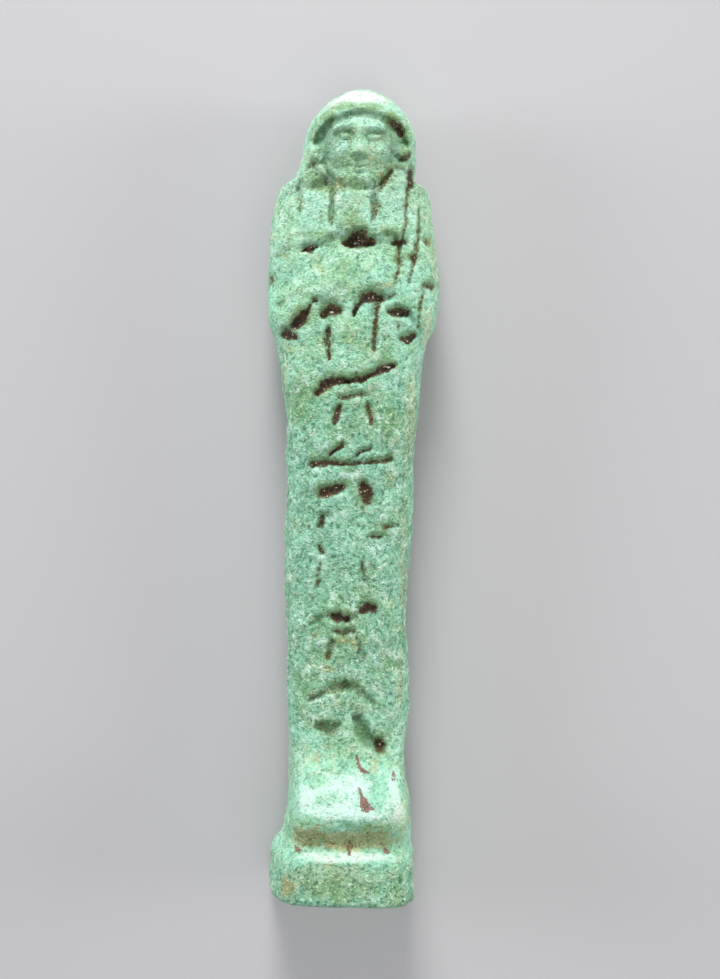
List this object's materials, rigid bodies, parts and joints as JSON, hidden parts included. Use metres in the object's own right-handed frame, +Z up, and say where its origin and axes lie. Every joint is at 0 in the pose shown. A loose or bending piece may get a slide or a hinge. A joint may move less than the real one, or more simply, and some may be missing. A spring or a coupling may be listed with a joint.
{
  "type": "ushabti figurine",
  "caption": "Mummy-shaped faience funerary figurine with a long wig, false beard and folded arms, on a small square plinth with a flat back pillar.",
  "frame": {"origin": "bottom centre of the lying figure's bounding box, on the surface it rests on", "axes": "+Y along the figure towards the crown of its head, +X towards the figure's left side, +Z up, out of the figure's front"},
  "size_m": [0.0218, 0.1, 0.0165],
  "materials": {
    "faience": "matt, worn and pitted pale blue-green glaze"
  },
  "bodies": {
    "root": {"ushabti": "faience"}
  },
  "joints": []
}
